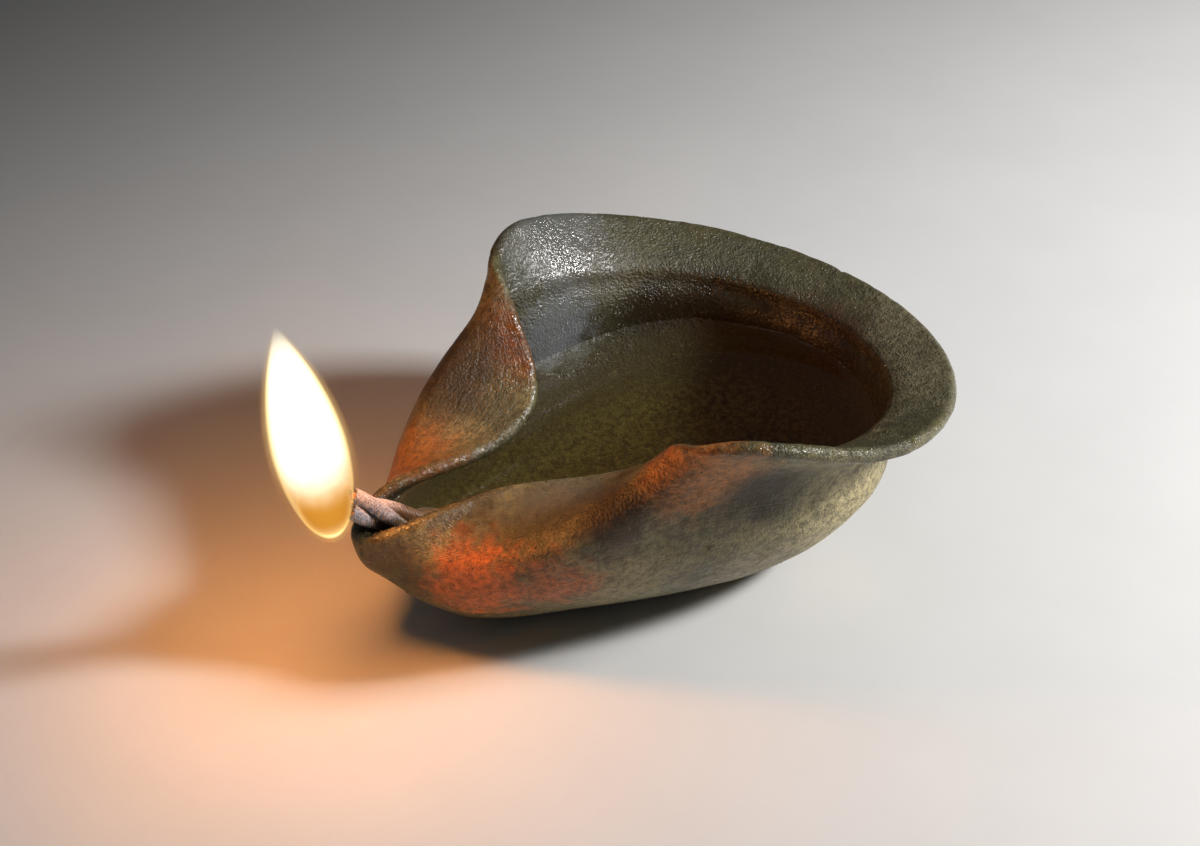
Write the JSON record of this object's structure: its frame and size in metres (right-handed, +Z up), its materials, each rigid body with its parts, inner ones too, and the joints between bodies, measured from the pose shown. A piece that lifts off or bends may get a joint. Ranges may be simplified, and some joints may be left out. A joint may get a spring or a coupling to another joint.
{
  "type": "pinched clay oil lamp",
  "caption": "Open saucer oil lamp of dark fired clay, its front pinched into a spout that holds a lit twisted wick in oil.",
  "frame": {"origin": "middle of the foot, on the surface that the lamp stands on", "axes": "+Z up, -X along the spout, XZ is the plane of symmetry"},
  "size_m": [0.1407, 0.0984, 0.0785],
  "materials": {
    "fired_clay": "dark reduction-fired clay, fine grit, oily sheen on the rim and inside",
    "lamp_oil": "clear olive lamp oil, smooth and wet",
    "wick_yarn": "twisted cotton yarn, soaked with oil",
    "charred_yarn": "burnt yarn, glowing at its tip",
    "flame_light": "luminous yellow flame",
    "flame_heart": "dim orange heart of the flame"
  },
  "bodies": {
    "lamp": {"bowl": "fired_clay", "oil": "lamp_oil"},
    "wick": {"wick_ply_1": "wick_yarn", "wick_ply_2": "wick_yarn", "wick_ply_3": "wick_yarn", "charred_end": "charred_yarn", "flame": "flame_light", "flame_core": "flame_heart"}
  },
  "joints": [
    {"name": "wick_feed", "type": "slide", "parent": "lamp", "child": "wick", "axis": [-0.788, 0, 0.6157], "range_m": [0, 0.012]}
  ]
}
